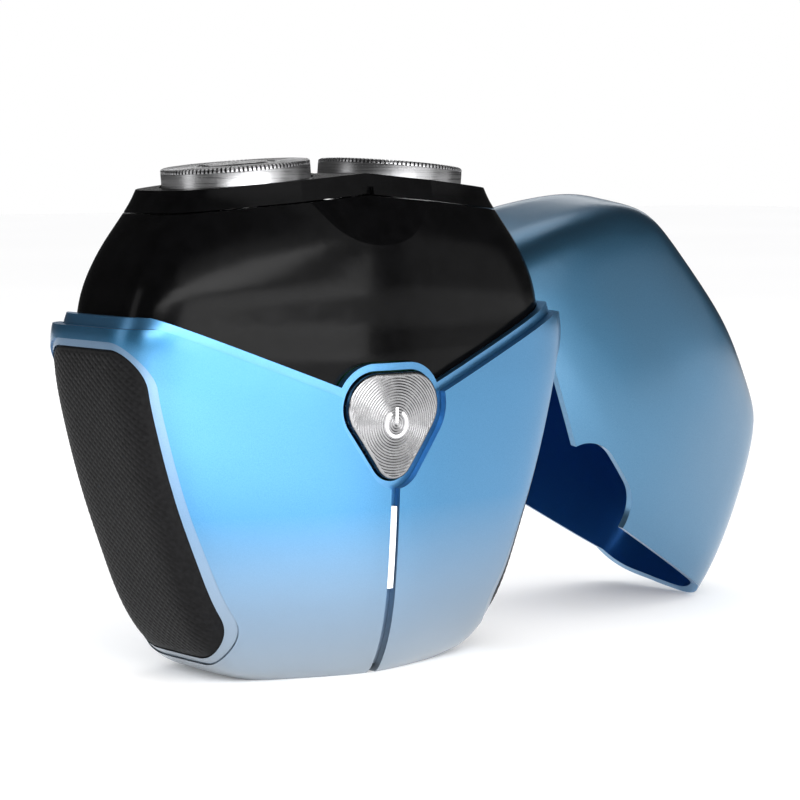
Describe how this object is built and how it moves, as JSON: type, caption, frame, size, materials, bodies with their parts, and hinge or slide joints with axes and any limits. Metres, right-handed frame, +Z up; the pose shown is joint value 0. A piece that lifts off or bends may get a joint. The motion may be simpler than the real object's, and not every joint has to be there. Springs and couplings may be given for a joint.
{
  "type": "electric shaver",
  "caption": "Pocket rotary shaver: two tilted floating shaving heads on a gem-shaped handle with a front button, side grips and a separate pull-off travel cap.",
  "frame": {"origin": "middle of the flat base, on the surface the shaver stands on", "axes": "+Z up towards the shaving heads, -Y is the front with the button, +X to the viewer's right"},
  "size_m": [0.1366, 0.0562, 0.0725],
  "materials": {
    "blue_shell": "satin metallic",
    "blue_chassis": "satin metallic",
    "black_housing": "piano gloss",
    "dark_plastic": "matte",
    "steel_foil": "brushed",
    "chrome": "polished",
    "blade_steel": "ground",
    "gear_plastic": "natural acetal",
    "brass": "machined",
    "motor_steel": "zinc plated",
    "cell_wrap": "heat shrink",
    "board": "solder mask",
    "button_metal": "spun",
    "light_lens": "milky",
    "grip_rubber": "embossed",
    "cap_blue": "satin metallic"
  },
  "bodies": {
    "handle": {"outer_shell_left": "blue_shell", "outer_shell_right": "blue_shell", "inner_chassis": "blue_chassis", "head_housing": "black_housing", "motor_plate": "dark_plastic", "gear_plate": "dark_plastic", "plate_screws": "blade_steel", "motor_can": "motor_steel", "battery_cell": "cell_wrap", "circuit_board": "board", "charging_port": "motor_steel", "button_switch": "dark_plastic", "light_strip": "light_lens", "grip_pad_left": "grip_rubber", "grip_pad_right": "grip_rubber"},
    "button": {"power_button": "button_metal"},
    "head_unit": {"head_frame": "black_housing", "cutter_retainer": "dark_plastic"},
    "ring_left": {"shaving_ring_left": "steel_foil", "ring_hub_left": "chrome"},
    "rotor_left": {"cutter_left": "blade_steel"},
    "ring_right": {"shaving_ring_right": "steel_foil", "ring_hub_right": "chrome"},
    "rotor_right": {"cutter_right": "blade_steel"},
    "gear_left": {"drive_gear_left": "gear_plastic", "drive_spindle_left": "blade_steel"},
    "gear_right": {"drive_gear_right": "gear_plastic", "drive_spindle_right": "blade_steel"},
    "motor_rotor": {"motor_shaft": "blade_steel", "motor_pinion": "brass"},
    "cap": {"travel_cap": "cap_blue"}
  },
  "joints": [
    {"name": "button_press", "type": "slide", "parent": "handle", "child": "button", "axis": [0, 1, 0], "range_m": [0, 0.0005], "stiffness_N_per_m": 3000},
    {"name": "head_lift", "type": "slide", "parent": "handle", "child": "head_unit", "axis": [0, 0, 1], "range_m": [0, 0.014]},
    {"name": "head_float_left", "type": "slide", "parent": "head_unit", "child": "ring_left", "axis": [0.0872, 0, -0.9962], "range_m": [0, 0.0012], "stiffness_N_per_m": 600, "springref_m": -0.0008},
    {"name": "cutter_spin_left", "type": "hinge", "parent": "ring_left", "child": "rotor_left", "pos_m": [-0.013, 0, 0.0637], "axis": [-0.0872, 0, 0.9962], "continuous": true},
    {"name": "head_float_right", "type": "slide", "parent": "head_unit", "child": "ring_right", "axis": [-0.0872, 0, -0.9962], "range_m": [0, 0.0012], "stiffness_N_per_m": 600, "springref_m": -0.0008},
    {"name": "cutter_spin_right", "type": "hinge", "parent": "ring_right", "child": "rotor_right", "pos_m": [0.013, 0, 0.0637], "axis": [0.0872, 0, 0.9962], "continuous": true},
    {"name": "gear_spin_left", "type": "hinge", "parent": "handle", "child": "gear_left", "pos_m": [-0.013, 0, 0.0563], "axis": [0, 0, 1], "continuous": true},
    {"name": "gear_spin_right", "type": "hinge", "parent": "handle", "child": "gear_right", "pos_m": [0.013, 0, 0.0563], "axis": [0, 0, 1], "continuous": true},
    {"name": "motor_spin", "type": "hinge", "parent": "handle", "child": "motor_rotor", "pos_m": [0, 0, 0.0563], "axis": [0, 0, 1], "continuous": true},
    {"name": "cap_pull", "type": "slide", "parent": "handle", "child": "cap", "axis": [1, 0, 0], "range_m": [0, 0.06]}
  ],
  "couplings": [
    {"joint": "motor_spin", "follows": "gear_spin_left", "ratio": -2.7143},
    {"joint": "gear_spin_right", "follows": "gear_spin_left", "ratio": 1},
    {"joint": "cutter_spin_left", "follows": "gear_spin_left", "ratio": 1},
    {"joint": "cutter_spin_right", "follows": "gear_spin_left", "ratio": 1}
  ]
}
